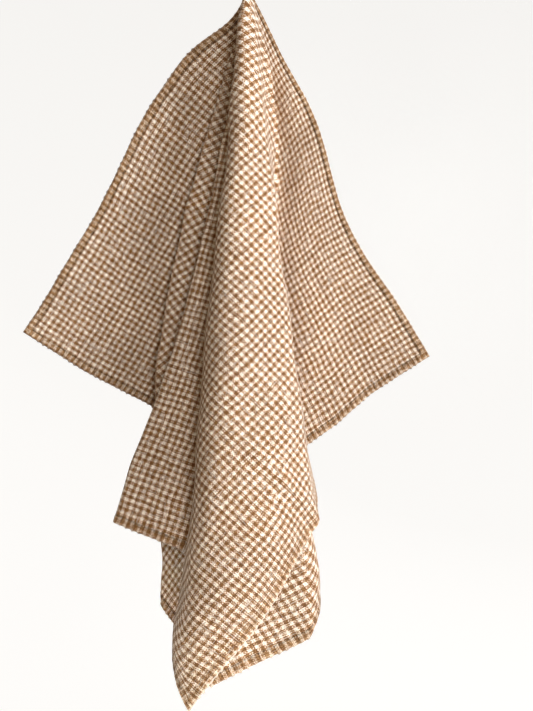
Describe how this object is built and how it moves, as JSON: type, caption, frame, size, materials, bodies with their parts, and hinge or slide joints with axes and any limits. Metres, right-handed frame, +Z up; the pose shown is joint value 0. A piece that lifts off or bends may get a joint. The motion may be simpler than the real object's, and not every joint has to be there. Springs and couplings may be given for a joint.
{
  "type": "tea towel",
  "caption": "Checked linen tea towel hanging from the middle of a long edge in soft uneven folds, with wide side flaps and a full front fold.",
  "frame": {"origin": "the hang point, at the middle of the long edge that the towel hangs from", "axes": "+Z up along the hanging cloth, -Y out of the front that faces the room, +X to the right as seen from the front"},
  "size_m": [0.3317, 0.0989, 0.5579],
  "materials": {
    "checked_linen": "slubby plain-weave linen in a small brown and cream check"
  },
  "bodies": {
    "root": {"tea_towel": "checked_linen"}
  },
  "joints": []
}
